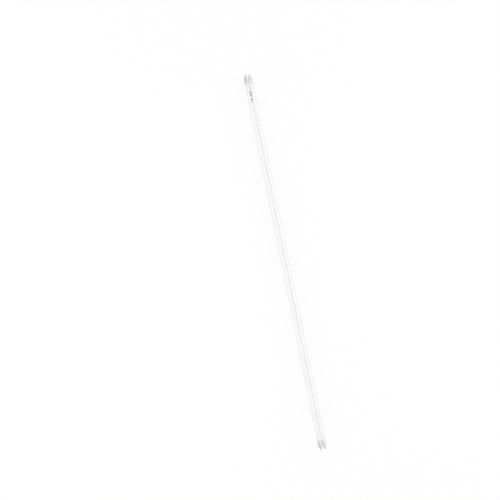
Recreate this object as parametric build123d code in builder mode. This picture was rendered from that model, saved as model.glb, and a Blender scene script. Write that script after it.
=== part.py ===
from build123d import *
import math
import os

# A T8 LED tube of the 1200 mm class. A frosted glass tube holds an LED strip, glued along
# its floor, and a driver at one end. Each end has an aluminium cap with two contact pins.
# The lamp lies along X with its LEDs facing +Z and the driver at -X. The origin is on the
# surface that it lies on, under the middle of its length. Sizes are in millimetres.

# Lamp and glass
lamp_length = 1199.4  # from pin plate face to pin plate face
tube_diameter = 27.6
glass_wall = 0.65
shoulder_length = 3.5  # run over which the glass narrows to its neck
shoulder_cover = 0.6  # how far the cap reaches over that run

# Drawn aluminium caps
cap_diameter = 26.4
cap_length = 21.6
cap_wall = 0.5
cap_corner = 2.2
crimp_land = 3.0  # flat between the corner and the rolled groove
crimp_width = 2.0
crimp_depth = 0.35
window_clearance = 0.15
cement_gap = 0.35  # between the cap and the glass neck
cement_setback = 1.5  # from the cap's rim
glass_end_gap = 0.5  # cement between the pin plate and the end of the glass

# Contact pins
pin_pitch = 12.7
pin_diameter = 2.35
pin_length = 7.1
pin_tip_radius = 0.9
pin_bore = 0.9
pin_bore_end = 2.5  # solid metal left at the tip
pin_root_diameter = 3.0  # inside the pin plate, flush with its face
pin_flange_diameter = 4.0
pin_flange_thickness = 0.5

# Moulded pin plates
plate_proud = 0.4  # how far the boss stands out of the cap's face
plate_clearance = 0.1
plate_boss_radius = 4.0
plate_boss_edge = 0.2
plate_front_wall = 2.0
plate_land = 0.8  # rim behind the channel that the groove is rolled into
channel_gap = 0.3
spigot_length = 4.0
spigot_wall = 1.2
spigot_clearance = 0.25
pin_boss_diameter = 5.0
pin_boss_length = 5.0
guide_length = 9.0
guide_lip = 1.2
guide_grip = 1.5
guide_clearance = 0.1

# LED strip
strip_width = 10.0
strip_thickness = 1.0
strip_seat_gap = 0.2  # from the glass to the strip's corners and the adhesive
strip_end_margin = 3.0  # from the glass shoulder
glue_width = 8.0
led_length = 3.5
led_width = 2.8
led_height = 0.75
led_pitch = 16.0
led_end_margin = 10.0
pocket_rim = 0.45
pocket_depth = 0.45

# Driver board and its parts
board_thickness = 1.2
board_drop = 3.5  # from the lamp's axis down to the board's top
board_end_gap = 1.0
board_side_clearance = 0.3
column_gap = 1.0
wire_margin = 1.5
hole_clearance = 0.1
stub_length = 0.6  # component leads below the board
component_lead = 0.6
fuse_diameter = 3.2
fuse_length = 8.5
fuse_lead_run = 1.6
fuse_lead_bend = 0.8
varistor_diameter = 7.5
varistor_thickness = 3.6
varistor_edge = 0.9
varistor_standoff = 1.0
varistor_lead_pitch = 5.0
film_length = 10.0
film_width = 5.0
film_height = 8.5
film_edge = 0.5
film_lead_pitch = 7.5
inductor_diameter = 8.5
inductor_height = 9.0
inductor_flange = 1.2
inductor_neck = 4.2
inductor_pin_pitch = 6.0
winding_inset = 0.4
can_diameter = 8.0
can_length = 13.0
can_edge = 0.6
can_groove_place = 2.0
can_groove_depth = 0.4
can_lead_pitch = 3.5
can_lead_run = 2.0
can_lead_bend = 1.0
output_can_diameter = 6.3
output_can_height = 9.0
output_can_lead_pitch = 2.5
bridge_length = 4.7
bridge_width = 3.9
bridge_height = 2.5
bridge_lead_pitch = 2.5
bridge_lead_pairs = 2
chip_length = 4.9
chip_width = 3.9
chip_height = 1.6
chip_lead_pitch = 1.27
chip_lead_pairs = 4
diode_length = 2.6
diode_width = 4.3
diode_height = 2.2
diode_lead_pairs = 1
package_draft = 7.0  # degrees
foot_width = 0.5  # bent leads of the surface-mount parts
foot_thickness = 0.2
foot_run = 0.5
foot_length = 0.6

# Driver sleeve, output header and leads
sleeve_wall = 0.25
sleeve_clearance = 0.25
header_margin = 3.0  # from the sleeve and from the board's end
header_length = 2.6
header_width = 6.0
header_height = 2.5
header_pitch = 3.0
header_pin = 0.64
strip_overlap = 4.0  # of the LED strip past the header
lead_diameter = 1.4
conductor_diameter = 0.6
conductor_reach = 5.0  # into the hollow pin
lead_reach = 5.0
lead_bend = 2.5
far_lead_rise = 4.5
far_pad_margin = 4.0
far_pad_pitch = 6.0

# Heights and radii that follow from the sizes above
half_length = lamp_length / 2
tube_radius = tube_diameter / 2
cap_radius = cap_diameter / 2
axis_height = max(tube_radius, cap_radius)
cap_inner = cap_radius - cap_wall
neck_radius = cap_inner - cement_gap
neck_inner = neck_radius - glass_wall
tube_inner = tube_radius - glass_wall
lamp_axis = Axis((0, 0, axis_height), (1, 0, 0))

# Depths measured inwards from the lamp's end
plate_front = plate_proud + cap_wall
crimp_place = plate_proud + cap_corner + crimp_land + crimp_width / 2
plate_back = crimp_place + crimp_width / 2 + channel_gap + plate_land
plate_floor = plate_front + plate_front_wall
pin_seat = plate_floor + pin_boss_length
pin_tail = pin_seat + pin_flange_thickness
glass_end = plate_back + glass_end_gap
shoulder_start = cap_length - shoulder_cover
shoulder_end = shoulder_start + shoulder_length

# Driver board, which fits inside the spigot of the left pin plate
plate_radius = cap_inner - plate_clearance
spigot_radius = neck_inner - spigot_clearance
spigot_inner = spigot_radius - spigot_wall
board_top = axis_height - board_drop
board_bottom = board_top - board_thickness
board_half_width = math.sqrt(spigot_inner**2 - (board_drop + board_thickness) ** 2) - board_side_clearance
side_lane = board_half_width / 2
pin_places = [-pin_pitch / 2, pin_pitch / 2]

# Places of the driver's parts along X, one after the other
board_start = -half_length + plate_floor + board_end_gap
wire_x = -half_length + pin_tail + lead_reach
sleeve_start = wire_x + wire_margin
fuse_span = fuse_length + 2 * fuse_lead_run
first_column = max(fuse_span, varistor_diameter)
second_column = max(film_length, bridge_length)
fuse_x = sleeve_start + column_gap + first_column / 2
film_x = fuse_x + first_column / 2 + column_gap + second_column / 2
inductor_x = film_x + second_column / 2 + column_gap + inductor_diameter / 2
can_lead_x = inductor_x + inductor_diameter / 2 + column_gap + component_lead / 2
can_start = can_lead_x + can_lead_run
output_can_x = can_start + can_length + column_gap + output_can_diameter / 2
sleeve_end = output_can_x + output_can_diameter / 2 + column_gap
header_x = sleeve_end + header_margin
board_end = header_x + header_margin

# LED strip, whose lower corners and adhesive rest on the glass
bead_radius = tube_inner - strip_seat_gap
strip_bottom = axis_height - math.sqrt(bead_radius**2 - (strip_width / 2) ** 2)
strip_top = strip_bottom + strip_thickness
strip_start = header_x - strip_overlap
strip_end = half_length - shoulder_end - strip_end_margin
strip_middle = (strip_start + strip_end) / 2
led_run = strip_end - board_end - 2 * led_end_margin
led_count = math.floor(led_run / led_pitch) + 1
led_middle = (board_end + strip_end) / 2

# Through holes of the driver board, two for each part with wire leads
conductor_holes = [(wire_x, place) for place in pin_places]
fuse_holes = [(fuse_x - fuse_span / 2, side_lane), (fuse_x + fuse_span / 2, side_lane)]
varistor_holes = [(fuse_x + step * varistor_lead_pitch / 2, -side_lane) for step in (-1, 1)]
film_holes = [(film_x + step * film_lead_pitch / 2, side_lane) for step in (-1, 1)]
inductor_holes = [(inductor_x, step * inductor_pin_pitch / 2) for step in (-1, 1)]
can_holes = [(can_lead_x, step * can_lead_pitch / 2) for step in (-1, 1)]
output_can_holes = [(output_can_x, step * output_can_lead_pitch / 2) for step in (-1, 1)]
header_holes = [(header_x, step * header_pitch / 2) for step in (-1, 1)]

os.makedirs("parts", exist_ok=True)


def save(builder, name):
    """Labels a finished piece and writes it to its own file."""
    builder.part.label = name
    export_step(builder.part, f"parts/{name}.step")


def end_section(side, across=0.0):
    """Plane along the lamp at one end: local x runs inwards, local y up."""
    return Plane(origin=(side * half_length, across, axis_height), x_dir=(-side, 0, 0), z_dir=(0, side, 0))


def end_face(side, depth=0.0):
    """Plane across the lamp at a depth from one end: its normal points inwards, local y up."""
    return Plane(origin=(side * (half_length - depth), 0, axis_height), x_dir=(0, -side, 0), z_dir=(-side, 0, 0))


def level_curve(start, end):
    """Two tangent arcs that leave start and reach end level with the lamp's axis."""
    middle = ((start[0] + end[0]) / 2, (start[1] + end[1]) / 2)
    first_arc = TangentArc(start, middle, tangent=(end[0] - start[0], 0))
    TangentArc(middle, end, tangent=first_arc % 1)


def straight_leads(places, top):
    """Round leads from a height above the board down through its holes."""
    with BuildPart() as leads:
        with BuildSketch(Plane.XY.offset(board_bottom - stub_length)):
            with Locations(*places):
                Circle(component_lead / 2)
        extrude(amount=top - board_bottom + stub_length)
    return leads.part


def surface_package(place, length, width, height, lead_pairs, lead_pitch=0.0):
    """A moulded surface-mount body with bent leads along its two sides."""
    middle = height / 2
    knee = width / 2 + foot_run
    with BuildPart() as package:
        with BuildSketch(place.offset(middle)) as waist:
            Rectangle(length, width)
        extrude(amount=middle, taper=package_draft)
        extrude(waist.sketch, amount=foot_thickness - middle, taper=package_draft)
        for step in range(lead_pairs):
            lead_x = (step - (lead_pairs - 1) / 2) * lead_pitch
            origin = place.from_local_coords((lead_x, 0, 0))
            with BuildSketch(Plane(origin=origin, x_dir=place.y_dir, z_dir=place.x_dir)):
                with BuildLine():
                    Polyline(
                        (width / 2 - foot_thickness, middle + foot_thickness / 2),
                        (knee, middle + foot_thickness / 2),
                        (knee, foot_thickness),
                        (knee + foot_length, foot_thickness),
                        (knee + foot_length, 0),
                        (knee - foot_thickness, 0),
                        (knee - foot_thickness, middle - foot_thickness / 2),
                        (width / 2 - foot_thickness, middle - foot_thickness / 2),
                        close=True,
                    )
                make_face()
                mirror(about=Plane.YZ)
            extrude(amount=foot_width / 2, both=True)
    return package


# Glass tube, straight between two shoulders, with a neck inside each cap
neck_stop = half_length - glass_end
shoulder_outer = half_length - shoulder_start
shoulder_inner = half_length - shoulder_end
with BuildPart() as glass_tube:
    with BuildSketch(Plane(origin=(0, 0, axis_height), x_dir=(1, 0, 0), z_dir=(0, -1, 0))):
        with BuildLine():
            Line((-neck_stop, neck_radius), (-shoulder_outer, neck_radius))
            level_curve((-shoulder_outer, neck_radius), (-shoulder_inner, tube_radius))
            Line((-shoulder_inner, tube_radius), (shoulder_inner, tube_radius))
            level_curve((shoulder_inner, tube_radius), (shoulder_outer, neck_radius))
            Line((shoulder_outer, neck_radius), (neck_stop, neck_radius))
            Line((neck_stop, neck_radius), (neck_stop, neck_inner))
            Line((neck_stop, neck_inner), (shoulder_outer, neck_inner))
            level_curve((shoulder_outer, neck_inner), (shoulder_inner, tube_inner))
            Line((shoulder_inner, tube_inner), (-shoulder_inner, tube_inner))
            level_curve((-shoulder_inner, tube_inner), (-shoulder_outer, neck_inner))
            Line((-shoulder_outer, neck_inner), (-neck_stop, neck_inner))
            Line((-neck_stop, neck_inner), (-neck_stop, neck_radius))
        make_face()
    revolve(axis=lamp_axis)
save(glass_tube, "glass_tube")

# End caps: shell, pin plate, cement ring and two pins on each end
for end, side in (("left", -1), ("right", 1)):

    # Shell: a drawn cup with a rolled groove and an oblong window in its end face
    with BuildPart() as shell:
        with BuildSketch(end_section(side)):
            with BuildLine():
                face = Line((plate_proud, 0), (plate_proud, cap_radius - cap_corner))
                corner = TangentArc(face @ 1, (plate_proud + cap_corner, cap_radius), tangent=face % 1)
                land = Line(corner @ 1, (crimp_place - crimp_width / 2, cap_radius))
                groove = ThreePointArc(
                    land @ 1,
                    (crimp_place, cap_radius - crimp_depth),
                    (crimp_place + crimp_width / 2, cap_radius),
                )
                Line(groove @ 1, (cap_length, cap_radius))
                offset(amount=cap_wall, side=Side.RIGHT)
            make_face()
        revolve(axis=lamp_axis)
        with BuildSketch(end_face(side)):
            SlotCenterToCenter(pin_pitch, 2 * (plate_boss_radius + window_clearance))
        extrude(amount=plate_floor, mode=Mode.SUBTRACT)
    save(shell, f"cap_shell_{end}")

    # Pin plate: a moulded cup with a channel for the groove and a spigot inside the glass
    plate_corner = cap_corner - cap_wall
    channel_half = crimp_width / 2 + channel_gap
    channel_floor = plate_radius - crimp_depth - channel_gap
    with BuildPart() as plate:
        with BuildSketch(end_section(side)):
            with BuildLine():
                face = Line((plate_front, 0), (plate_front, plate_radius - plate_corner))
                corner = TangentArc(face @ 1, (plate_front + plate_corner, plate_radius), tangent=face % 1)
                Polyline(
                    corner @ 1,
                    (crimp_place - channel_half, plate_radius),
                    (crimp_place - channel_half, channel_floor),
                    (crimp_place + channel_half, channel_floor),
                    (crimp_place + channel_half, plate_radius),
                    (plate_back, plate_radius),
                    (plate_back, spigot_radius),
                    (plate_back + spigot_length, spigot_radius),
                    (plate_back + spigot_length, spigot_inner),
                    (plate_floor, spigot_inner),
                    (plate_floor, 0),
                    (plate_front, 0),
                )
            make_face()
        revolve(axis=lamp_axis)

        # Oblong boss that fills the shell's window
        with BuildSketch(end_face(side)):
            SlotCenterToCenter(pin_pitch, 2 * plate_boss_radius)
        extrude(amount=plate_front)
        front_edges = plate.faces().sort_by(Axis.X)[0 if side < 0 else -1].edges()
        fillet(front_edges, radius=plate_boss_edge)

        # Bosses that hold the pins
        with BuildSketch(end_face(side, plate_floor)):
            with Locations(*[(place, 0) for place in pin_places]):
                Circle(pin_boss_diameter / 2)
        extrude(amount=pin_boss_length)

        # Slotted guides that grip the edges of the driver board
        guide_inner = board_half_width - guide_grip
        guide_middle = (guide_inner + spigot_radius) / 2
        guide_drop = board_drop + board_thickness / 2
        slot_height = board_thickness + 2 * guide_clearance
        with BuildSketch(end_face(side, plate_floor)):
            with Locations((-guide_middle, -guide_drop), (guide_middle, -guide_drop)):
                Rectangle(spigot_radius - guide_inner, slot_height + 2 * guide_lip)
            Circle(spigot_radius, mode=Mode.INTERSECT)
            with Locations((0, -guide_drop)):
                Rectangle(2 * (board_half_width + guide_clearance), slot_height, mode=Mode.SUBTRACT)
        extrude(amount=guide_length)

        # Holes for the pins
        with BuildSketch(end_face(side)):
            with Locations(*[(place, 0) for place in pin_places]):
                Circle(pin_root_diameter / 2)
        extrude(amount=pin_seat, mode=Mode.SUBTRACT)
    save(plate, f"pin_plate_{end}")

    # Cement: fills the space between shell and neck, and the end of the glass
    cement_stop = cap_length - cement_setback
    with BuildPart() as cement:
        with BuildSketch(end_section(side)):
            with BuildLine():
                Polyline(
                    (plate_back, neck_inner),
                    (plate_back, cap_inner),
                    (cement_stop, cap_inner),
                    (cement_stop, neck_radius),
                    (glass_end, neck_radius),
                    (glass_end, neck_inner),
                    close=True,
                )
            make_face()
        revolve(axis=lamp_axis)
    save(cement, f"cap_cement_{end}")

    # Pins: hollow, round at the tip, with a thicker root and a flange behind the plate's boss
    pin_radius = pin_diameter / 2
    for row, place in zip(("front", "back"), pin_places):
        with BuildPart() as pin:
            with BuildSketch(end_section(side, place)):
                with BuildLine():
                    blunt = Line((-pin_length, 0), (-pin_length, pin_radius - pin_tip_radius))
                    tip = TangentArc(blunt @ 1, (pin_tip_radius - pin_length, pin_radius), tangent=blunt % 1)
                    Polyline(
                        tip @ 1,
                        (0, pin_radius),
                        (0, pin_root_diameter / 2),
                        (pin_seat, pin_root_diameter / 2),
                        (pin_seat, pin_flange_diameter / 2),
                        (pin_tail, pin_flange_diameter / 2),
                        (pin_tail, pin_bore / 2),
                        (pin_bore_end - pin_length, pin_bore / 2),
                        (pin_bore_end - pin_length, 0),
                        (-pin_length, 0),
                    )
                make_face()
            revolve(axis=Axis((0, place, axis_height), (1, 0, 0)))
        save(pin, f"pin_{end}_{row}")

# LED strip along the floor of the tube
with BuildPart() as led_board:
    with BuildSketch(Plane.XY.offset(strip_bottom)):
        with Locations((strip_middle, 0)):
            Rectangle(strip_end - strip_start, strip_width)
    extrude(amount=strip_thickness)
save(led_board, "led_board")

# Adhesive bead between the strip and the round glass
bead_height = bead_radius - (axis_height - strip_bottom)
with BuildPart() as board_adhesive:
    with BuildSketch(Plane(origin=(strip_start, 0, axis_height), x_dir=(0, 1, 0), z_dir=(1, 0, 0))):
        Circle(bead_radius)
        with Locations((0, bead_height / 2 - bead_radius)):
            Rectangle(glue_width, bead_height, mode=Mode.INTERSECT)
    extrude(amount=strip_end - strip_start)
save(board_adhesive, "board_adhesive")

# LED packages: a row of white housings, each with a pocket of phosphor
pocket_length = led_length - 2 * pocket_rim
pocket_width = led_width - 2 * pocket_rim
led_top = Plane(origin=(led_middle, 0, strip_top + led_height))
with BuildPart() as led_housings:
    with BuildSketch(led_top):
        with GridLocations(led_pitch, 0, led_count, 1):
            Rectangle(led_length, led_width)
    extrude(amount=-led_height)
    with BuildSketch(led_top):
        with GridLocations(led_pitch, 0, led_count, 1):
            Rectangle(pocket_length, pocket_width)
    extrude(amount=-pocket_depth, mode=Mode.SUBTRACT)
save(led_housings, "led_housings")

with BuildPart() as led_phosphors:
    with BuildSketch(led_top):
        with GridLocations(led_pitch, 0, led_count, 1):
            Rectangle(pocket_length, pocket_width)
    extrude(amount=-pocket_depth)
save(led_phosphors, "led_phosphors")

# Driver board with a hole for each lead that passes through it
round_holes = (
    conductor_holes + fuse_holes + varistor_holes + film_holes + inductor_holes + can_holes + output_can_holes
)
with BuildPart() as driver_board:
    with BuildSketch(Plane.XY.offset(board_bottom)):
        with Locations(((board_start + board_end) / 2, 0)):
            Rectangle(board_end - board_start, 2 * board_half_width)
        with Locations(*round_holes):
            Circle(component_lead / 2 + hole_clearance, mode=Mode.SUBTRACT)
        with Locations(*header_holes):
            Circle(header_pin / math.sqrt(2) + hole_clearance, mode=Mode.SUBTRACT)
    extrude(amount=board_thickness)
save(driver_board, "driver_board")

# Fuse resistor: a round body on one wire that bends down at both ends
fuse_height = board_top + fuse_diameter / 2
fuse_foot = board_bottom - stub_length
with BuildPart() as fuse_resistor:
    with BuildLine() as fuse_wire:
        FilletPolyline(
            (*fuse_holes[0], fuse_foot),
            (*fuse_holes[0], fuse_height),
            (*fuse_holes[1], fuse_height),
            (*fuse_holes[1], fuse_foot),
            radius=fuse_lead_bend,
        )
    with BuildSketch(Plane(origin=fuse_wire.line @ 0, z_dir=fuse_wire.line % 0)):
        Circle(component_lead / 2)
    sweep()
    with BuildSketch(Plane(origin=(fuse_x, side_lane, fuse_height), x_dir=(0, 1, 0), z_dir=(1, 0, 0))):
        Circle(fuse_diameter / 2)
    extrude(amount=fuse_length / 2, both=True)
save(fuse_resistor, "fuse_resistor")

# Varistor: a coated disc that stands on two leads
varistor_height = board_top + varistor_standoff + varistor_diameter / 2
with BuildPart() as varistor:
    with BuildSketch(Plane(origin=(fuse_x, -side_lane, varistor_height), x_dir=(1, 0, 0), z_dir=(0, -1, 0))):
        Circle(varistor_diameter / 2)
    extrude(amount=varistor_thickness / 2, both=True)
    fillet(varistor.edges().filter_by(GeomType.CIRCLE), radius=varistor_edge)
    add(straight_leads(varistor_holes, varistor_height))
save(varistor, "varistor")

# Film capacitor: a block with rounded uprights
with BuildPart() as film_capacitor:
    with BuildSketch(Plane.XY.offset(board_top)):
        with Locations((film_x, side_lane)):
            RectangleRounded(film_length, film_width, film_edge)
    extrude(amount=film_height)
    add(straight_leads(film_holes, board_top))
save(film_capacitor, "film_capacitor")

# Inductor: a ferrite spool on two pins, and the winding between its flanges
with BuildPart() as inductor_core:
    with BuildSketch(Plane.XY.offset(board_top)):
        with Locations((inductor_x, 0)):
            Circle(inductor_diameter / 2)
    extrude(amount=inductor_flange)
    with BuildSketch(Plane.XY.offset(board_top)):
        with Locations((inductor_x, 0)):
            Circle(inductor_neck / 2)
    extrude(amount=inductor_height)
    with BuildSketch(Plane.XY.offset(board_top + inductor_height)):
        with Locations((inductor_x, 0)):
            Circle(inductor_diameter / 2)
    extrude(amount=-inductor_flange)
    add(straight_leads(inductor_holes, board_top))
save(inductor_core, "inductor_core")

with BuildPart() as inductor_winding:
    with BuildSketch(Plane.XY.offset(board_top + inductor_flange)):
        with Locations((inductor_x, 0)):
            Circle(inductor_diameter / 2 - winding_inset)
            Circle(inductor_neck / 2, mode=Mode.SUBTRACT)
    extrude(amount=inductor_height - 2 * inductor_flange)
save(inductor_winding, "inductor_winding")

# Input capacitor: a can that lies on the board, with its leads bent down
can_radius = can_diameter / 2
can_height = board_top + can_radius
with BuildPart() as input_capacitor:
    with BuildSketch(Plane(origin=(can_start, 0, can_height), x_dir=(1, 0, 0), z_dir=(0, -1, 0))):
        with BuildLine():
            base = Line((0, 0), (0, can_radius - can_edge))
            base_edge = TangentArc(base @ 1, (can_edge, can_radius), tangent=base % 1)
            Polyline(
                base_edge @ 1,
                (can_groove_place - can_groove_depth, can_radius),
                (can_groove_place, can_radius - can_groove_depth),
                (can_groove_place + can_groove_depth, can_radius),
                (can_length, can_radius),
                (can_length, 0),
                (0, 0),
            )
        make_face()
    revolve(axis=Axis((can_start, 0, can_height), (1, 0, 0)))
    for hole_x, hole_y in can_holes:
        with BuildLine() as can_wire:
            FilletPolyline(
                (can_start + can_edge, hole_y, can_height),
                (hole_x, hole_y, can_height),
                (hole_x, hole_y, board_bottom - stub_length),
                radius=can_lead_bend,
            )
        with BuildSketch(Plane(origin=can_wire.line @ 0, z_dir=can_wire.line % 0)):
            Circle(component_lead / 2)
        sweep(path=can_wire.line)
save(input_capacitor, "input_capacitor")

# Output capacitor: a can that stands on the board
with BuildPart() as output_capacitor:
    with BuildSketch(Plane.XY.offset(board_top)):
        with Locations((output_can_x, 0)):
            Circle(output_can_diameter / 2)
    extrude(amount=output_can_height)
    fillet(output_capacitor.edges().sort_by(Axis.Z)[-1], radius=can_edge)
    add(straight_leads(output_can_holes, board_top))
save(output_capacitor, "output_capacitor")

# Surface-mount parts: the rectifier on top, the chip and the diode under the board
bridge_rectifier = surface_package(
    Plane((film_x, -side_lane, board_top)),
    bridge_length,
    bridge_width,
    bridge_height,
    bridge_lead_pairs,
    bridge_lead_pitch,
)
save(bridge_rectifier, "bridge_rectifier")

driver_chip = surface_package(
    Plane((film_x, 0, board_bottom), x_dir=(1, 0, 0), z_dir=(0, 0, -1)),
    chip_length,
    chip_width,
    chip_height,
    chip_lead_pairs,
    chip_lead_pitch,
)
save(driver_chip, "driver_chip")

freewheel_diode = surface_package(
    Plane((inductor_x, 0, board_bottom), x_dir=(0, 1, 0), z_dir=(0, 0, -1)),
    diode_length,
    diode_width,
    diode_height,
    diode_lead_pairs,
)
save(freewheel_diode, "freewheel_diode")

# Sleeve: insulating film drawn tight round the board and its parts
tallest = max(
    fuse_diameter, varistor_standoff + varistor_diameter, film_height, bridge_height,
    inductor_height, can_diameter, output_can_height,
)
deepest = max(chip_height, diode_height, stub_length)
sleeve_half = board_half_width + sleeve_clearance
roof_half = side_lane + max(film_width, varistor_thickness, fuse_diameter) / 2 + sleeve_clearance
keel_half = max(chip_width, diode_length) / 2 + foot_run + foot_length + sleeve_clearance
roof = tallest + sleeve_clearance
keel = -board_thickness - deepest - sleeve_clearance
film_outline = [
    (-sleeve_half, -board_thickness - sleeve_clearance),
    (-sleeve_half, sleeve_clearance),
    (-roof_half, roof),
    (roof_half, roof),
    (sleeve_half, sleeve_clearance),
    (sleeve_half, -board_thickness - sleeve_clearance),
    (keel_half, keel),
    (-keel_half, keel),
]
with BuildPart() as driver_sleeve:
    with BuildSketch(Plane(origin=(sleeve_start, 0, board_top), x_dir=(0, 1, 0), z_dir=(1, 0, 0))):
        with BuildLine():
            Polyline(*film_outline, close=True)
        make_face()
        offset(amount=sleeve_wall)
        with BuildLine():
            Polyline(*film_outline, close=True)
        make_face(mode=Mode.SUBTRACT)
    extrude(amount=sleeve_end - sleeve_start)
save(driver_sleeve, "driver_sleeve")

# Output header: a moulded block on the LED strip, and two pins up into the driver board
with BuildPart() as output_header:
    with BuildSketch(Plane.XY.offset(strip_top)):
        with Locations((header_x, 0)):
            Rectangle(header_length, header_width)
        with Locations(*header_holes):
            Rectangle(header_pin, header_pin, mode=Mode.SUBTRACT)
    extrude(amount=header_height)
save(output_header, "output_header")

with BuildPart() as output_pins:
    with BuildSketch(Plane.XY.offset(strip_top)):
        with Locations(*header_holes):
            Rectangle(header_pin, header_pin)
    extrude(amount=board_top + stub_length - strip_top)
save(output_pins, "output_pins")


def wire_lead(route, bend, plug_direction, through_board):
    """An insulated wire along a route, with its bare end in a hollow pin and maybe one through the board."""
    with BuildPart() as lead:
        with BuildLine() as path:
            FilletPolyline(*route, radius=bend)
        with BuildSketch(Plane(origin=path.line @ 0, z_dir=path.line % 0)):
            Circle(lead_diameter / 2)
        sweep()
        with BuildSketch(Plane(origin=route[0], z_dir=(plug_direction, 0, 0))):
            Circle(conductor_diameter / 2)
        extrude(amount=conductor_reach)
        if through_board:
            with BuildSketch(Plane(origin=route[-1], z_dir=(0, 0, -1))):
                Circle(conductor_diameter / 2)
            extrude(amount=board_thickness + stub_length)
    return lead


# Leads from the left pins, bent down into the driver board
for name, place in zip(("live_lead", "neutral_lead"), pin_places):
    near_lead = wire_lead(
        [
            (pin_tail - half_length, place, axis_height),
            (wire_x, place, axis_height),
            (wire_x, place, board_top),
        ],
        lead_bend,
        -1,
        through_board=True,
    )
    save(near_lead, name)

# Leads from the right pins, down to pads on the far end of the LED strip
for name, step, place in zip(("far_lead_front", "far_lead_back"), (-1, 1), pin_places):
    pad_x = strip_end - far_pad_margin
    pad_y = step * far_pad_pitch / 2
    far_lead = wire_lead(
        [
            (half_length - pin_tail, place, axis_height),
            (half_length - pin_tail - lead_reach, place, axis_height),
            (pad_x, pad_y, strip_top + far_lead_rise),
            (pad_x, pad_y, strip_top),
        ],
        lead_bend,
        1,
        through_board=False,
    )
    save(far_lead, name)
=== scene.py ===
import math

import bmesh
import bpy
from mathutils import Matrix, Vector


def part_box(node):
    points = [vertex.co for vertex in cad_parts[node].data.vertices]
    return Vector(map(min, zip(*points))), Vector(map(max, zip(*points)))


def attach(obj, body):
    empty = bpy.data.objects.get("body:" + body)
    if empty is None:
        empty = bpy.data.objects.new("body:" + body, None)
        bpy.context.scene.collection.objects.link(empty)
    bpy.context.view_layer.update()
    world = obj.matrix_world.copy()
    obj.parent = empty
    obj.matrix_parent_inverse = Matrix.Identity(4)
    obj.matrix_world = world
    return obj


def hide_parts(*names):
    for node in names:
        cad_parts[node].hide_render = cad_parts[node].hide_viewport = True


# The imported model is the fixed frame, in metres. The lamp lies along X on the floor at z = 0,
# with its driver end at -X and its LEDs facing up.
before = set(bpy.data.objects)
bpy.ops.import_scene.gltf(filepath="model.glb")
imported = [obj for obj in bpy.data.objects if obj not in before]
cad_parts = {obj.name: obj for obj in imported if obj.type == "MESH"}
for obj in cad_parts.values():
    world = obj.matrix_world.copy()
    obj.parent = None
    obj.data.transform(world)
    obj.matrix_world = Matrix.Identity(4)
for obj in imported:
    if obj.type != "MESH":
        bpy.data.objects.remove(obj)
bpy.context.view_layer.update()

# Camera: high above the lying lamp with a long lens, looking straight down, and turned so
# that the driver end points to the upper left as in the photograph.
photo_width = 500  # pixels
photo_middle = 249.5
lamp_lean = math.radians(11.45)
lamp_middle_column = 284.55
lamp_middle_row = 261.7
pixels_per_metre = 314.6
camera_data = bpy.data.cameras.new("camera")
camera_data.lens = 150
camera = bpy.data.objects.new("camera", camera_data)
bpy.context.scene.collection.objects.link(camera)
bpy.context.scene.camera = camera
bpy.context.scene.view_settings.view_transform = "Standard"
glass_low, glass_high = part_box("glass_tube")
axis_height = (glass_low.z + glass_high.z) / 2
photo_right = Vector((math.sin(lamp_lean), math.cos(lamp_lean), 0))
photo_up = Vector((-math.cos(lamp_lean), math.sin(lamp_lean), 0))
overhead = Vector((0, 0, 1))
aim = photo_right * (photo_middle - lamp_middle_column) + photo_up * (lamp_middle_row - photo_middle)
camera_distance = photo_width / pixels_per_metre * camera_data.lens / camera_data.sensor_width
camera_place = aim / pixels_per_metre + overhead * (axis_height + camera_distance)
camera_turn = Matrix((photo_right, photo_up, overhead)).transposed().to_4x4()
camera.matrix_world = Matrix.Translation(camera_place) @ camera_turn

# Studio: a white floor and white surroundings, as plain as the photograph's. They are white to
# the eye and in reflections, light the lamp at a plain level, and keep its shadow on the floor.
surround_light = 0.715
floor_reach = 30.0
floor_colour = (0.95, 0.95, 0.95, 1)
floor_bounce = (0.59, 0.59, 0.59, 1)  # dimmer, so that the lamp keeps a shaded underside
floor_shadow = 0.10  # share of the floor's look that real light and shade make
white = (1, 1, 1, 1)


class Wire:
    """A socket of a shader. Maths on wires adds Math nodes, and node adds any other node."""

    def __init__(self, tree, socket=None):
        self.tree = tree
        self.socket = socket

    def node(self, kind, settings=None, sockets=None, output=0):
        """Adds a node: first its settings, then a value or a wire for each socket named."""
        added = self.tree.nodes.new(kind)
        for name, value in (settings or {}).items():
            setattr(added, name, value)
        for name, value in (sockets or {}).items():
            if isinstance(value, Wire):
                self.tree.links.new(value.socket, added.inputs[name])
            else:
                added.inputs[name].default_value = value
        return Wire(self.tree, added.outputs[output]) if added.outputs else None

    def out(self, name):
        """Another output of the node that this wire leaves."""
        return Wire(self.tree, self.socket.node.outputs[name])

    def math(self, operation, *values):
        return self.node("ShaderNodeMath", {"operation": operation}, dict(enumerate(values)))

    def __add__(self, other):
        return self.math("ADD", self, other)

    def __sub__(self, other):
        return self.math("SUBTRACT", self, other)

    def __rsub__(self, other):
        return self.math("SUBTRACT", other, self)

    def __mul__(self, other):
        return self.math("MULTIPLY", self, other)

    def __truediv__(self, other):
        return self.math("DIVIDE", self, other)

    def __mod__(self, other):
        return self.math("FLOORED_MODULO", self, other)

    def __or__(self, other):
        return self.math("MAXIMUM", self, other)

    def __and__(self, other):
        return self.math("MINIMUM", self, other)

    def __pow__(self, other):
        return self.math("POWER", self, other)

    def __abs__(self):
        return self.math("ABSOLUTE", self)

    __radd__ = __add__
    __rmul__ = __mul__


def blank_shader(tree):
    """Clears a node tree and returns a wire to build on it."""
    tree.nodes.clear()
    return Wire(tree)


def seen_directly(wire):
    """1 for rays from the eye or a reflection, 0 for rays that carry soft light."""
    path = wire.node("ShaderNodeLightPath")
    return path.out("Is Camera Ray") | path.out("Is Glossy Ray") | path.out("Is Transmission Ray")


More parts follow.
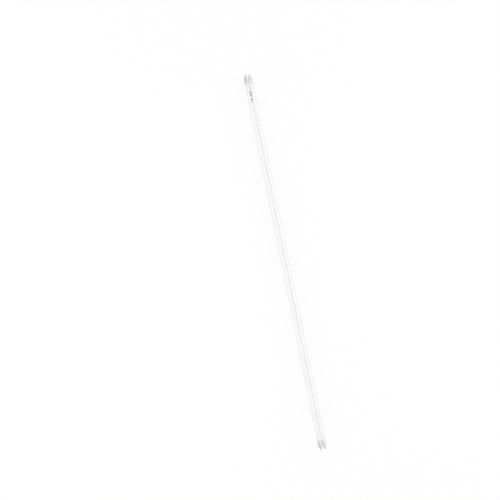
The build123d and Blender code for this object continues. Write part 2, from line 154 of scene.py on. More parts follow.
def blend(mask, low, high):
    """A colour that goes from low to high with a mask."""
    return mask.node("ShaderNodeMix", {"data_type": "RGBA"}, {0: mask, 6: low, 7: high}, output=2)


world = bpy.data.worlds.new("studio")
world.use_nodes = True
bpy.context.scene.world = world
sky = blank_shader(world.node_tree)
sky_strength = surround_light + seen_directly(sky) * (1 - surround_light)
sky_glow = sky.node("ShaderNodeBackground", {}, {"Color": white, "Strength": sky_strength})
sky.node("ShaderNodeOutputWorld", {}, {"Surface": sky_glow})

floor_finish = bpy.data.materials.new("floor")
floor_finish.use_nodes = True
wire = blank_shader(floor_finish.node_tree)
in_sight = seen_directly(wire)
matt_colour = blend(in_sight, floor_bounce, floor_colour)
matt = wire.node("ShaderNodeBsdfDiffuse", {}, {"Color": matt_colour})
glow = wire.node("ShaderNodeEmission", {}, {"Color": white, "Strength": 1.0})
glow_share = in_sight * (1 - floor_shadow)
lit_floor = wire.node("ShaderNodeMixShader", {}, {0: glow_share, 1: matt, 2: glow})
wire.node("ShaderNodeOutputMaterial", {}, {"Surface": lit_floor})


def stage_card(name, width, length, turn, place, finish):
    """A flat stage panel, made level and then turned about X and placed."""
    shape = bmesh.new()
    bmesh.ops.create_grid(shape, x_segments=1, y_segments=1, size=0.5)
    bmesh.ops.scale(shape, vec=(length, width, 1), verts=shape.verts)
    bmesh.ops.rotate(shape, cent=(0, 0, 0), matrix=Matrix.Rotation(turn, 3, "X"), verts=shape.verts)
    bmesh.ops.translate(shape, vec=place, verts=shape.verts)
    mesh = bpy.data.meshes.new(name)
    shape.to_mesh(mesh)
    shape.free()
    card = bpy.data.objects.new(name, mesh)
    bpy.context.scene.collection.objects.link(card)
    mesh.materials.append(finish)
    return card


stage_card("floor", 2 * floor_reach, 2 * floor_reach, 0, (0, 0, 0), floor_finish)

# Lamps and cards: a large soft lamp on each side, so that the tube is lit evenly all round, and
# cards that only gloss shows. Long ones give the thin dark and bright lines along the glass, and
# small ones beside each cap give the metal its shaded side and its plain one.
wash_angle = math.radians(62)
wash_distance = 3.2
wash_size = 2.2
broad_length = 10.0
line_length = 1.9
line_distance = 2.4
cap_card_distance = 0.12
cap_card_length = 0.3
cap_card_middle = 0.72  # along the lamp, so that the card starts beside the rim of the cap


def around_lamp(angle, distance):
    """A point over the middle of the lamp, leaning from straight up towards +Y by an angle."""
    return Vector((0, math.sin(angle) * distance, axis_height + math.cos(angle) * distance))


for wash_name, wash_turn, wash_radiance in (
    ("left_wash", -wash_angle, 2.42),
    ("right_wash", wash_angle, 2.27),
):
    wash_data = bpy.data.lights.new(wash_name, "AREA")
    wash_data.shape = "SQUARE"
    wash_data.size = wash_size
    wash_data.energy = wash_radiance * math.pi * wash_size**2
    wash = bpy.data.objects.new(wash_name, wash_data)
    bpy.context.scene.collection.objects.link(wash)
    wash.location = around_lamp(wash_turn, wash_distance)
    wash.rotation_euler = (-wash_turn, 0, 0)
    wash.visible_camera = False
    wash.visible_glossy = False


def gloss_card(name, start, end, radiance, distance=line_distance, length=line_length, along=0.0):
    """A card round the lamp between two angles in degrees, seen in gloss alone, casting no shade."""
    finish = bpy.data.materials.new(name)
    finish.use_nodes = True
    wire = blank_shader(finish.node_tree)
    glow = wire.node("ShaderNodeEmission", {}, {"Color": white, "Strength": radiance})
    wire.node("ShaderNodeOutputMaterial", {}, {"Surface": glow})
    middle = math.radians(start + end) / 2
    width = 2 * distance * math.tan(math.radians(end - start) / 2)
    spot = around_lamp(middle, distance) + Vector((along, 0, 0))
    card = stage_card(name, width, length, -middle, spot, finish)
    card.visible_camera = False
    card.visible_diffuse = False
    card.visible_transmission = False
    card.visible_shadow = False


gloss_card("broad_card", start=-66, end=4, radiance=1.2, length=broad_length)
gloss_card("dark_card", start=4, end=26, radiance=0.02)
gloss_card("pale_card", start=56, end=82, radiance=2.4)
for end, side in (("left", -1), ("right", 1)):
    beside_cap = {
        "distance": cap_card_distance,
        "length": cap_card_length,
        "along": side * cap_card_middle,
    }
    gloss_card(f"{end}_shade_card", start=-84, end=-56, radiance=0.16, **beside_cap)
    gloss_card(f"{end}_fill_card", start=42, end=88, radiance=0.86, **beside_cap)

# Glass tube: drawn soda-lime glass with a white frosted coat baked on its inside, so the wall
# looks milky and even under a smooth outer gloss. Its ends are drawn in to fit the caps, and a
# faint band shows along its floor, where the strip is glued behind the coat.
mm = 0.001  # a millimetre in metres
glass_wall = 0.65 * mm
neck_radius = 12.35 * mm
shoulder_start = 11.8 * mm  # from the end of the glass
shoulder_length = 3.5 * mm
shoulder_round = shoulder_length / 4
lip_round = 0.25 * mm
frost_thin = (0.880, 0.880, 0.877, 1)
frost_thick = (0.912, 0.912, 0.909, 1)
frost_backed = (0.815, 0.815, 0.810, 1)
glue_end_fade = 1.5 * mm
glue_side_fade = 1.0 * mm
tube_radius = min(glass_high.y - glass_low.y, glass_high.z - glass_low.z) / 2
lamp_axis = Vector((0, 0, axis_height))


def turned(outline, rounds, centre, steps, closed=True):
    """Spins an outline of (x, radius) corners, some of them rounded, about a line along X."""
    shape = bmesh.new()
    corners = [shape.verts.new(centre + Vector((x, 0, radius))) for x, radius in outline]
    for corner, following in zip(corners, corners[1:]):
        shape.edges.new((corner, following))
    if closed:
        shape.edges.new((corners[-1], corners[0]))
    for size, numbers in rounds:
        bmesh.ops.bevel(
            shape, geom=[corners[number] for number in numbers], offset=size, segments=6,
            profile=0.5, affect="VERTICES", material=-1,
        )
    bmesh.ops.spin(
        shape, geom=shape.verts[:] + shape.edges[:], cent=centre, axis=(1, 0, 0),
        angle=2 * math.pi, steps=steps, use_merge=True,
    )
    bmesh.ops.remove_doubles(shape, verts=shape.verts, dist=0.001 * mm)
    bmesh.ops.recalc_face_normals(shape, faces=shape.faces)
    return shape


def piece(name, shape, finish, slot, *replaced):
    """Makes a shape a piece that rides on the lamp, and that may stand for CAD nodes."""
    mesh = bpy.data.meshes.new(name)
    shape.to_mesh(mesh)
    shape.free()
    mesh.shade_smooth()
    mesh.set_sharp_from_angle(angle=math.radians(35))
    mesh.materials.append(finish)
    made = bpy.data.objects.new(name, mesh)
    bpy.context.scene.collection.objects.link(made)
    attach(made, "root")
    if replaced:
        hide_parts(*replaced)


def start_finish(name):
    """A new material, and a wire on the Object coordinates of the piece that wears it."""
    finish = bpy.data.materials.new(name)
    finish.use_nodes = True
    place = blank_shader(finish.node_tree).node("ShaderNodeTexCoord", output="Object")
    return finish, place


def close_finish(place, sockets):
    """Ends a material with its surface shader."""
    shader = place.node("ShaderNodeBsdfPrincipled", {}, sockets)
    place.node("ShaderNodeOutputMaterial", {}, {"Surface": shader})


def grain(place, size, detail=2.0, stretch=(1, 1, 1)):
    """Soft random marks of a size, from 0 to 1, drawn out along the axes that are stretched."""
    scale = [1 / (size * factor) for factor in stretch]
    spread = place.node("ShaderNodeMapping", {}, {"Vector": place, "Scale": scale})
    return place.node("ShaderNodeTexNoise", {}, {"Vector": spread, "Scale": 1.0, "Detail": detail})


def split(place):
    """The x, y and z of a place."""
    parts = place.node("ShaderNodeSeparateXYZ", {}, {"Vector": place})
    return parts.out("X"), parts.out("Y"), parts.out("Z")


def rise(value, start, end):
    """A smooth step from 0 at start to 1 at end."""
    settings = {"interpolation_type": "SMOOTHSTEP"}
    return value.node("ShaderNodeMapRange", settings, {"Value": value, "From Min": start, "From Max": end})


def inside(value, low, high, soft=0.04 * mm):
    """1 where a value lies between two bounds, with soft edges."""
    return rise(value, low - soft, low + soft) * (1 - rise(value, high - soft, high + soft))


def below(value, bound, soft=0.04 * mm):
    """1 where a value lies under a bound, with a soft edge."""
    return 1 - rise(value, bound - soft, bound + soft)


def bump(height, depth):
    """A surface normal from a height map whose full range is one depth."""
    return height.node("ShaderNodeBump", {}, {"Height": height, "Distance": depth, "Strength": 1.0})


glass_finish, place = start_finish("frosted_glass")
cloud = grain(place, 22 * mm, detail=2.0, stretch=(3, 1, 1))
tooth = grain(place, 0.5 * mm)
drawn = grain(place, 4 * mm, detail=1.0, stretch=(60, 1, 1))
x, y, z = split(place)
glue_low, glue_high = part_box("board_adhesive")
glued = inside(x, glue_low.x, glue_high.x, glue_end_fade) * below(abs(y), glue_high.y, glue_side_fade)
backed = glued * below(z, axis_height)
frost = blend(cloud * 0.7 + tooth * 0.3, frost_thin, frost_thick)

# Two layers of gloss: a soft sheen from the white coat, and a sharper one from the outer face
close_finish(
    place,
    {
        "Base Color": blend(backed, frost, frost_backed),
        "Roughness": 0.15 + tooth * 0.06,
        "Specular IOR Level": 0.75,
        "Coat Weight": 1.0,
        "Coat Roughness": 0.07,
        "Coat IOR": 1.55,
        "Normal": bump(drawn, 0.004 * mm),
    },
)

neck_inner = neck_radius - glass_wall
tube_inner = tube_radius - glass_wall
neck_corner = shoulder_start + shoulder_round
tube_corner = shoulder_start + shoulder_length - shoulder_round
glass_outline = [
    (glass_low.x, neck_inner),
    (glass_low.x, neck_radius),
    (glass_low.x + neck_corner, neck_radius),
    (glass_low.x + tube_corner, tube_radius),
    (glass_high.x - tube_corner, tube_radius),
    (glass_high.x - neck_corner, neck_radius),
    (glass_high.x, neck_radius),
    (glass_high.x, neck_inner),
    (glass_high.x - neck_corner, neck_inner),
    (glass_high.x - tube_corner, tube_inner),
    (glass_low.x + tube_corner, tube_inner),
    (glass_low.x + neck_corner, neck_inner),
]
lips = (0, 1, 6, 7)  # corners of the outline, counted from 0
shoulders = (2, 3, 4, 5, 8, 9, 10, 11)
glass_rounds = [(lip_round, lips), (shoulder_round, shoulders)]
glass_shape = turned(glass_outline, glass_rounds, lamp_axis, steps=128)
piece("glass", glass_shape, glass_finish, "frosted_glass", "glass_tube")

# Rating print: dark grey ink, pad printed on the glass beside the driver end and baked on.
# It reads along the tube, with the lamp's plain type and power large and its supply small.
ink_depth = 0.03 * mm
ink_sink = 0.01 * mm
slice_height = 0.4 * mm
slice_reach = 14
print_offset = -0.5 * mm  # round the glass from its crown
rating_start = -518.5 * mm
supply_start = -556.5 * mm
ink_dark = (0.10, 0.10, 0.10, 1)
ink_worn = (0.16, 0.16, 0.16, 1)
print_finish, place = start_finish("print_ink")
patchy = grain(place, 0.8 * mm, detail=3.0)
close_finish(
    place,
    {
        "Base Color": blend(patchy, ink_dark, ink_worn),
        "Roughness": 0.5 + patchy * 0.2,
        "Specular IOR Level": 0.3,
    },
)


def printed(words, height, spacing, weight, start):
    """Words as a thin layer of ink round the glass, reading towards -X from a start."""
    text = bpy.data.curves.new("words", "FONT")
    text.body = words
    text.size = height
    text.space_character = spacing
    text.offset = weight
    holder = bpy.data.objects.new("words", text)
    flat = bpy.data.meshes.new_from_object(holder)
    shape = bmesh.new()
    shape.from_mesh(flat)
    bpy.data.objects.remove(holder)
    bpy.data.meshes.remove(flat)
    bmesh.ops.remove_doubles(shape, verts=shape.verts, dist=0.001 * mm)
    heights = [corner.co.y for corner in shape.verts]
    middle = (min(heights) + max(heights)) / 2
    bmesh.ops.translate(shape, vec=(0, -middle, 0), verts=shape.verts)
    for step in range(-slice_reach, slice_reach + 1):
        bmesh.ops.bisect_plane(
            shape, geom=shape.verts[:] + shape.edges[:] + shape.faces[:],
            plane_co=(0, step * slice_height, 0), plane_no=(0, 1, 0),
        )
    bmesh.ops.rotate(shape, cent=(0, 0, 0), matrix=Matrix.Rotation(math.pi, 3, "Z"), verts=shape.verts)
    bmesh.ops.translate(shape, vec=(start, print_offset, 0), verts=shape.verts)
    skin = bmesh.ops.extrude_face_region(shape, geom=shape.faces[:], use_keep_orig=True)
    lifted = [item for item in skin["geom"] if isinstance(item, bmesh.types.BMVert)]
    bmesh.ops.translate(shape, vec=(0, 0, ink_depth), verts=lifted)
    bmesh.ops.recalc_face_normals(shape, faces=shape.faces)
    for corner in shape.verts:
        reach = tube_radius - ink_sink + corner.co.z
        angle = corner.co.y / tube_radius
        corner.co = lamp_axis + Vector((corner.co.x, math.sin(angle) * reach, math.cos(angle) * reach))
    return shape


rating_shape = printed("T8 18W", height=10.2 * mm, spacing=1.05, weight=0.12 * mm, start=rating_start)
piece("rating_print", rating_shape, print_finish, "black_package")
supply_shape = printed("230V 50Hz", height=3.0 * mm, spacing=1.0, weight=0.02 * mm, start=supply_start)
piece("supply_print", supply_shape, print_finish, "black_package")

# LED strip: a long aluminium board under white solder mask, with copper tracks that show as
# faint steps and tinned pads under each LED. A bead of white silicone glues it to the glass.
led_pitch = 16 * mm
led_length = 3.5 * mm
led_margin = 1 * mm
pad_near = 1.2 * mm  # from the middle of an LED
pad_far = 2.35 * mm
pad_half = 1.25 * mm
link_start = 2.3 * mm
link_full = 2.4 * mm
link_half = 0.9 * mm
rail_near = 3.2 * mm  # from the middle of the strip
rail_far = 4.4 * mm
led_low, led_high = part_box("led_housings")
first_led = led_low.x + led_length / 2
tin = (0.72, 0.72, 0.70, 1)


def from_nearest_led(x):
    """Distance along the strip from the middle of the nearest LED."""
    return abs((x - first_led + led_pitch / 2) % led_pitch - led_pitch / 2)


def dress(finish, *names):
    """Gives CAD nodes a finish in place of the plain one that they were packed with."""
    for name in names:
        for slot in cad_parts[name].material_slots:
            slot.material = finish


strip_finish, place = start_finish("strip_board")
x, y = split(place)[:2]
led_run = inside(x, led_low.x - led_margin, led_high.x + led_margin)
from_led = from_nearest_led(x)
pads = inside(from_led, pad_near, pad_far) * below(abs(y), pad_half) * led_run
links = rise(from_led, link_start, link_full) * below(abs(y), link_half) * led_run
copper = links | inside(abs(y), rail_near, rail_far)
fine = grain(place, 0.3 * mm)
mask_plain = blend(fine, (0.84, 0.84, 0.82, 1), (0.90, 0.90, 0.88, 1))
mask_colour = blend(copper, mask_plain, (0.93, 0.92, 0.89, 1))
close_finish(
    place,
    {
        "Base Color": blend(pads, mask_colour, tin),
        "Metallic": pads,
        "Roughness": 0.42 + fine * 0.1 - pads * 0.12,
        "Normal": bump(copper * 0.6 + pads + fine * 0.1, 0.04 * mm),
    },
)
dress(strip_finish, "led_board")

silicone_finish, place = start_finish("silicone")
ripple = grain(place, 3 * mm, detail=2.0, stretch=(2, 1, 1))
close_finish(
    place,
    {
        "Base Color": blend(ripple, (0.80, 0.80, 0.78, 1), (0.90, 0.90, 0.88, 1)),
        "Roughness": 0.35 + ripple * 0.2,
        "Normal": bump(ripple, 0.15 * mm),
    },
)
dress(silicone_finish, "board_adhesive")

# LEDs: white moulded packages soldered to the strip, each with a pocket that is filled with
# yellow phosphor in clear resin.
dome_top = 0.2 * mm  # from the middle of an LED
dome_foot = 1.3 * mm
dome_stretch = 1.3
housing_finish, place = start_finish("led_housing")
fine = grain(place, 0.12 * mm, detail=3.0)
close_finish(
    place,
    {
        "Base Color": blend(fine, (0.86, 0.85, 0.81, 1), (0.94, 0.93, 0.90, 1)),
        "Roughness": 0.5 + fine * 0.15,
        "Normal": bump(fine, 0.01 * mm),
    },
)
dress(housing_finish, "led_housings")

phosphor_finish, place = start_finish("phosphor")
x, y = split(place)[:2]
grit = grain(place, 0.08 * mm, detail=3.0)
dome_and_highlight = 1 - rise(from_nearest_led(x) | abs(y) * dome_stretch, dome_top, dome_foot)
# Painted highlight: the yellow turns paler towards the top of each dome, mixed with the phosphor's real
# grit
close_finish(
    place,
    {
        "Base Color": blend(grit * 0.5 + dome_and_highlight * 0.5, (0.90, 0.62, 0.08, 1), (0.95, 0.78, 0.24, 1)),
        "Roughness": 0.18 + grit * 0.12,
        "Coat Weight": 0.6,
        "Normal": bump(grit * 0.2 + dome_and_highlight, 0.05 * mm),
    },
)
dress(phosphor_finish, "led_phosphors")

# Driver board: glass-fibre laminate with green solder mask over its copper fields, which thin
# gaps part from each other. Its cut edges show the bare laminate.
board_low, board_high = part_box("driver_board")
board_top = board_high.z
board_edge = 0.06 * mm
field_size = 7 * mm
board_finish, place = start_finish("circuit_board")
x, y = split(place)[:2]
fields = place.node(
    "ShaderNodeTexVoronoi", {"feature": "DISTANCE_TO_EDGE"}, {"Vector": place, "Scale": 1 / field_size}
)
copper = rise(fields, 0.03, 0.06)
fibre = grain(place, 0.5 * mm, detail=2.0, stretch=(4, 1, 1))
masked = inside(x, board_low.x + board_edge, board_high.x - board_edge)
masked = masked * inside(y, board_low.y + board_edge, board_high.y - board_edge)
mask_colour = blend(copper, (0.030, 0.165, 0.062, 1), (0.055, 0.270, 0.105, 1))
close_finish(
    place,
    {
        "Base Color": blend(masked, (0.58, 0.52, 0.30, 1), mask_colour),
        "Roughness": 0.55 - masked * 0.25 + fibre * 0.1,
        "Normal": bump(copper + fibre * 0.2, 0.03 * mm),
    },
)
dress(board_finish, "driver_board")

# Parts with wire leads, pushed through the board and soldered underneath: a flame-proof fuse
# resistor with colour rings, a dipped varistor, a film capacitor in a case and a ferrite spool.
fuse_body = 8.5 * mm
ring_half = 0.4 * mm
varistor_size = 7.5 * mm


def leaded(place, in_body, colour, roughness, relief, depth):
    """Ends a finish that is coated where a mask says so, and bare tinned metal elsewhere."""
    close_finish(
        place,
        {
            "Base Color": blend(in_body, tin, colour),
            "Metallic": 1 - in_body,
            "Roughness": 0.3 + in_body * (roughness - 0.3),
            "Normal": bump(relief * in_body, depth),
        },
    )


fuse_low, fuse_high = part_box("fuse_resistor")
fuse_finish, place = start_finish("fuse_body")
along = split(place)[0] - (fuse_low.x + fuse_high.x) / 2
coat = grain(place, 0.4 * mm, detail=3.0)
colour = blend(coat, (0.22, 0.33, 0.31, 1), (0.30, 0.42, 0.39, 1))
for ring_place, ring_colour in (
    (-2.6 * mm, (0.18, 0.07, 0.03, 1)),
    (-1.2 * mm, (0.02, 0.02, 0.02, 1)),
    (0.2 * mm, (0.02, 0.02, 0.02, 1)),
    (2.4 * mm, (0.55, 0.40, 0.10, 1)),
):
    colour = blend(inside(along, ring_place - ring_half, ring_place + ring_half), colour, ring_colour)
in_body = below(abs(along), fuse_body / 2 + 0.05 * mm)
leaded(place, in_body, colour, roughness=0.45, relief=coat, depth=0.03 * mm)
dress(fuse_finish, "fuse_resistor")

varistor_finish, place = start_finish("varistor_coat")
z = split(place)[2]
runs = grain(place, 1.2 * mm, detail=2.0, stretch=(1, 1, 2))
colour = blend(runs, (0.010, 0.045, 0.26, 1), (0.022, 0.075, 0.36, 1))
coat_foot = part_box("varistor")[1].z - varistor_size
in_body = rise(z, coat_foot, coat_foot + 0.1 * mm)
leaded(place, in_body, colour, roughness=0.25, relief=runs, depth=0.08 * mm)
dress(varistor_finish, "varistor")

film_finish, place = start_finish("film_case")
z = split(place)[2]
fine = grain(place, 0.2 * mm, detail=3.0)
colour = blend(fine, (0.66, 0.40, 0.02, 1), (0.74, 0.47, 0.04, 1))
in_body = rise(z, board_top - 0.05 * mm, board_top)
leaded(place, in_body, colour, roughness=0.35, relief=fine, depth=0.01 * mm)
dress(film_finish, "film_capacitor")

core_finish, place = start_finish("ferrite")
z = split(place)[2]
sinter = grain(place, 0.25 * mm, detail=4.0)
colour = blend(sinter, (0.018, 0.018, 0.020, 1), (0.045, 0.045, 0.048, 1))
in_body = rise(z, board_top - 0.05 * mm, board_top)
leaded(place, in_body, colour, roughness=0.6, relief=sinter, depth=0.03 * mm)
dress(core_finish, "inductor_core")

# Inductor winding: enamelled copper wire, wound on the ferrite spool by machine. Its turns lie
# side by side, and painted shade darkens the copper in the grooves between them.
wire_pitch = 0.32 * mm
winding_finish, place = start_finish("copper_wire")
z = split(place)[2]
groove_and_shade = abs(z % wire_pitch / wire_pitch - 0.5) * 2
tarnish = grain(place, 1.5 * mm)
# Painted shade: the copper darkens towards the grooves between turns, mixed with real tarnish
close_finish(
    place,
    {
        "Base Color": blend(groove_and_shade * 0.6 + tarnish * 0.4, (0.62, 0.24, 0.09, 1), (0.36, 0.11, 0.035, 1)),
        "Metallic": 1.0,
        "Roughness": 0.28 + tarnish * 0.12,
        "Normal": bump(1 - groove_and_shade * groove_and_shade, wire_pitch / 2),
    },
)
dress(winding_finish, "inductor_winding")

# Surface-mount parts: black moulded resin with tinned leads on two sides. The rectifier sits on
# the board, and the chip and the diode are soldered under it.
for name, axis, body_width in (
    ("bridge_rectifier", 1, 3.9 * mm),
    ("driver_chip", 1, 3.9 * mm),
    ("freewheel_diode", 0, 4.3 * mm),
):
    low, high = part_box(name)
    package_finish, place = start_finish(name)
    across = abs(split(place)[axis] - (low[axis] + high[axis]) / 2)
    speckle = grain(place, 0.1 * mm, detail=3.0)
    colour = blend(speckle, (0.010, 0.010, 0.011, 1), (0.028, 0.028, 0.030, 1))
    in_body = below(across, body_width / 2 + 0.02 * mm, soft=0.02 * mm)
    leaded(place, in_body, colour, roughness=0.55, relief=speckle, depth=0.01 * mm)
    dress(package_finish, name)

# Electrolytic capacitors: aluminium cans in a dark shrink sleeve with a pale stripe down one
# side. Bare metal shows on the end, inside the sleeve's rim, where a cross is scored as a vent.
sleeve_rim = 0.9 * mm
vent_half = 0.15 * mm
stripe_start = 0.36  # across the can, as a share of its diameter
stripe_full = 0.37
can_metal = (0.75, 0.75, 0.76, 1)
for name, along, size, length in (
    ("input_capacitor", 0, 8.0 * mm, 13.0 * mm),
    ("output_capacitor", 2, 6.3 * mm, 9.0 * mm),
):
    low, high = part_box(name)
    can_finish, place = start_finish(name)
    parts = split(place)
    reach = parts[along] - (high[along] - length)
    first, second = [parts[axis] - (high[axis] - size / 2) for axis in range(3) if axis != along]
    radius = (first * first + second * second) ** 0.5
    end_metal = rise(reach, length - 0.1 * mm, length - 0.05 * mm) * below(radius, size / 2 - sleeve_rim)
    sleeve = rise(reach, -0.05 * mm, 0.0) * (1 - end_metal)
    vent = end_metal * below(abs(first) & abs(second), vent_half)
    pleat = grain(place, 0.6 * mm)
    stripe = rise(first, stripe_start * size, stripe_full * size)
    sleeve_colour = blend(stripe, (0.010, 0.014, 0.030, 1), (0.42, 0.45, 0.50, 1))
    close_finish(
        place,
        {
            "Base Color": blend(sleeve, can_metal, sleeve_colour),
            "Metallic": 1 - sleeve,
            "Roughness": 0.32 - sleeve * 0.08 + pleat * 0.08,
            "Normal": bump(pleat * sleeve * 0.2 - vent, 0.1 * mm),
        },
    )
    dress(can_finish, name)

# Driver sleeve: thin clear film, slipped over the loaded board and shrunk on with hot air, which
# leaves it slightly creased.
sleeve_finish, place = start_finish("sleeve_film")
crease = grain(place, 2.5 * mm, detail=3.0, stretch=(1, 3, 3))
close_finish(
    place,
    {
        "Base Color": blend(crease, (0.74, 0.78, 0.80, 1), (0.86, 0.88, 0.90, 1)),
        "Roughness": 0.12 + crease * 0.15,
        "Alpha": 0.35 + crease * 0.15,
        "Normal": bump(crease, 0.12 * mm),
    },
)
dress(sleeve_finish, "driver_sleeve")

# Output header: a moulded block soldered to the strip, whose two square tinned pins carry the
# driver's output down from the driver board.
header_finish, place = start_finish("header_plastic")
fine = grain(place, 0.25 * mm, detail=3.0)
close_finish(
    place,
    {
        "Base Color": blend(fine, (0.80, 0.80, 0.77, 1), (0.87, 0.87, 0.84, 1)),
        "Roughness": 0.45 + fine * 0.15,
        "Normal": bump(fine, 0.015 * mm),
    },
)
dress(header_finish, "output_header")

tinned_finish, place = start_finish("tinned_pins")
dull = grain(place, 0.4 * mm, detail=3.0)
close_finish(
    place,
    {
        "Base Color": blend(dull, tin, (0.60, 0.60, 0.58, 1)),
        "Metallic": 1.0,
        "Roughness": 0.25 + dull * 0.15,
        "Normal": bump(dull, 0.01 * mm),
    },
)
dress(tinned_finish, "output_pins")

# Leads: stranded copper in extruded insulation, brown for live and blue for neutral. The bare
# ends are soldered into the hollow pins, and on the driver side through the board as well.
bare_end = 5.0 * mm
left_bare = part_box("live_lead")[0].x + bare_end
right_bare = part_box("far_lead_front")[1].x - bare_end
for slot_name, dark, light, wires in (
    (
        "live_insulation",
        (0.085, 0.030, 0.012, 1),
        (0.120, 0.046, 0.020, 1),
        ("live_lead", "far_lead_front"),
    ),
    (
        "neutral_insulation",
        (0.012, 0.060, 0.300, 1),
        (0.022, 0.085, 0.380, 1),
        ("neutral_lead", "far_lead_back"),
    ),
):
    lead_finish, place = start_finish(slot_name)
    x, y, z = split(place)
    at_board = below(z, board_top) * below(x, board_high.x)
    bare = below(x, left_bare) | rise(x, right_bare, right_bare + 0.05 * mm) | at_board
    fine = grain(place, 0.2 * mm, detail=2.0)
    leaded(place, 1 - bare, blend(fine, dark, light), roughness=0.4, relief=fine, depth=0.01 * mm)
    dress(lead_finish, *wires)

# Pin plates: light grey moulded insulators. Each fills the window in its cap, holds the two
# pins in bosses, and is locked by the groove that is rolled into the cap.
plate_finish, place = start_finish("plate_plastic")
flow = grain(place, 2.5 * mm, detail=3.0)
spark = grain(place, 0.15 * mm)
close_finish(
    place,
    {
        "Base Color": blend(flow * 0.6 + spark * 0.4, (0.58, 0.58, 0.56, 1), (0.68, 0.68, 0.66, 1)),
        "Roughness": 0.48 + spark * 0.2,
        "Normal": bump(spark, 0.015 * mm),
    },
)
dress(plate_finish, "pin_plate_left", "pin_plate_right")

# Contact pins: hollow brass, turned, rounded and dimpled at the tip, and nickel plated. A flange
# holds each from behind, and the free length is what the lampholder grips.
pin_radius = 1.175 * mm
pin_length = 7.1 * mm
pin_round = 0.85 * mm
pin_root = 1.5 * mm
pin_bore = 0.45 * mm
tip_metal = 2.5 * mm
flange_thickness = 0.5 * mm
dimple_radius = 0.3 * mm
dimple_depth = 0.2 * mm
tip_edge = (2,)  # corner of the outline, counted from 0
# Painted dark reflection: the pins are coloured far darker than plated nickel, with real tone changes from
# handling
pin_painted_darkest = (0.170, 0.167, 0.160, 1)
pin_painted_dark = (0.240, 0.236, 0.226, 1)
pin_finish, place = start_finish("pin_nickel_painted_dark")
turning = grain(place, 0.08 * mm, detail=2.0, stretch=(1, 30, 30))
handled = grain(place, 1.2 * mm, detail=3.0)
close_finish(
    place,
    {
        "Base Color": blend(handled, pin_painted_darkest, pin_painted_dark),
        "Metallic": 1.0,
        "Roughness": 0.24 + turning * 0.12 + handled * 0.08,
        "Normal": bump(turning, 0.004 * mm),
    },
)
for end, inward in (("left", 1), ("right", -1)):
    for row in ("front", "back"):
        pin_name = f"pin_{end}_{row}"
        low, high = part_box(pin_name)
        tip = low.x if inward > 0 else high.x
        tail = high.x if inward > 0 else low.x
        flange_radius = (high.y - low.y) / 2
        flange_face = tail - inward * flange_thickness
        pin_outline = [
            (tip + inward * dimple_depth, 0),
            (tip, dimple_radius),
            (tip, pin_radius),
            (tip + inward * pin_length, pin_radius),
            (tip + inward * pin_length, pin_root),
            (flange_face, pin_root),
            (flange_face, flange_radius),
            (tail, flange_radius),
            (tail, pin_bore),
            (tip + inward * tip_metal, pin_bore),
            (tip + inward * tip_metal, 0),
        ]
        pin_axis = Vector((0, (low.y + high.y) / 2, axis_height))
        pin_shape = turned(pin_outline, [(pin_round, tip_edge)], pin_axis, steps=40, closed=False)
        piece(f"contact_{pin_name}", pin_shape, pin_finish, "pin_brass", pin_name)

# Cement: a grey-white ring between each cap and the neck of the glass. It goes in as a paste,
# fills the gap as the cap is pushed on, and is cured by heat.
cement_finish, place = start_finish("cement")
lumps = grain(place, 1.0 * mm, detail=4.0)
close_finish(
    place,
    {
        "Base Color": blend(lumps, (0.62, 0.60, 0.55, 1), (0.76, 0.74, 0.69, 1)),
        "Roughness": 0.7 + lumps * 0.2,
        "Normal": bump(lumps, 0.1 * mm),
    },
)
dress(cement_finish, "cap_cement_left", "cap_cement_right")

# Cap shells: cups drawn from aluminium sheet with a satin skin. The oblong window is punched in
# the end, and the groove behind the corner is rolled in once the pin plate is inside, which
# leaves it burnished.
cap_wall = 0.5 * mm
cap_corner = 2.2 * mm
groove_middle = 6.2 * mm  # from the cap's end face
groove_half = 1.0 * mm
groove_depth = 0.35 * mm
groove_round = 0.7 * mm
groove_edge = 0.25 * mm
burnish_fade = 0.3 * mm
pin_pitch = 12.7 * mm
window_radius = 4.15 * mm
window_seat = 10.75 * mm
edge_break = 0.1 * mm
hair = 0.01 * mm  # closer than this counts as in line
groove_sides = (1, 3)  # corners of the outline, counted from 0
groove_bottom = (2,)
face_corner = (4,)
satin_dark = (0.67, 0.673, 0.680, 1)
satin_light = (0.80, 0.803, 0.808, 1)
shell_finish, place = start_finish("cap_aluminium")
rings = grain(place, 0.10 * mm, detail=3.0, stretch=(1, 60, 60))
scuffs = grain(place, 3.0 * mm, detail=4.0)
from_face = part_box("cap_shell_right")[1].x - abs(split(place)[0])
burnished = inside(from_face, groove_middle - groove_half, groove_middle + groove_half, burnish_fade)
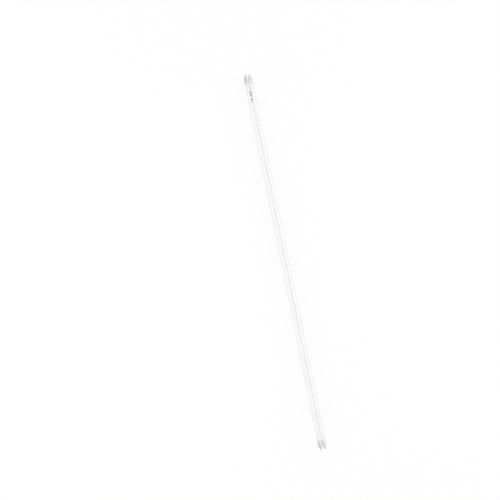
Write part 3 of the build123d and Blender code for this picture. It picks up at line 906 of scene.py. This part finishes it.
close_finish(
    place,
    {
        "Base Color": blend(rings * 0.5 + scuffs * 0.5, satin_dark, satin_light),
        "Metallic": 0.85,
        "Roughness": 0.36 + rings * 0.12 + scuffs * 0.08 - burnished * 0.12,
        "Normal": bump(rings, 0.010 * mm),
    },
)
for end, inward in (("left", 1), ("right", -1)):
    low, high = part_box(f"cap_shell_{end}")
    face = low.x if inward > 0 else high.x
    rim = high.x if inward > 0 else low.x
    cap_radius = (high.z - low.z) / 2
    cup_outline = [
        (rim, cap_radius),
        (face + inward * (groove_middle + groove_half), cap_radius),
        (face + inward * groove_middle, cap_radius - groove_depth),
        (face + inward * (groove_middle - groove_half), cap_radius),
        (face, cap_radius),
        (face, window_seat),
    ]
    rounds = [(groove_edge, groove_sides), (groove_round, groove_bottom), (cap_corner, face_corner)]
    cup = turned(cup_outline, rounds, lamp_axis, steps=128, closed=False)

    # The window: the face's open circle drawn in to two half circles a pin pitch apart
    boundary = [edge for edge in cup.edges if edge.is_boundary]
    open_edges = [edge for edge in boundary if abs(edge.verts[0].co.x - face) < hair]
    drawn_in = bmesh.ops.extrude_edge_only(cup, edges=open_edges)["geom"]
    window = [item for item in drawn_in if isinstance(item, bmesh.types.BMVert)]
    shrink = window_radius / window_seat
    bmesh.ops.scale(cup, vec=(1, shrink, shrink), space=Matrix.Translation(-lamp_axis), verts=window)
    for sign in (-1, 1):
        half = [corner for corner in window if corner.co.y * sign > hair]
        bmesh.ops.translate(cup, vec=(0, sign * pin_pitch / 2, 0), verts=half)
    bmesh.ops.recalc_face_normals(cup, faces=cup.faces)
    bmesh.ops.solidify(cup, geom=cup.faces[:], thickness=cap_wall)
    sharp = [edge for edge in cup.edges if edge.is_manifold and edge.calc_face_angle() > math.radians(60)]
    bmesh.ops.bevel(
        cup, geom=sharp, offset=edge_break, segments=2, profile=0.5, affect="EDGES", material=-1
    )
    piece(f"shell_{end}", cup, shell_finish, "cap_aluminium", f"cap_shell_{end}")

# Brings the places of all the pieces up to date
bpy.context.view_layer.update()
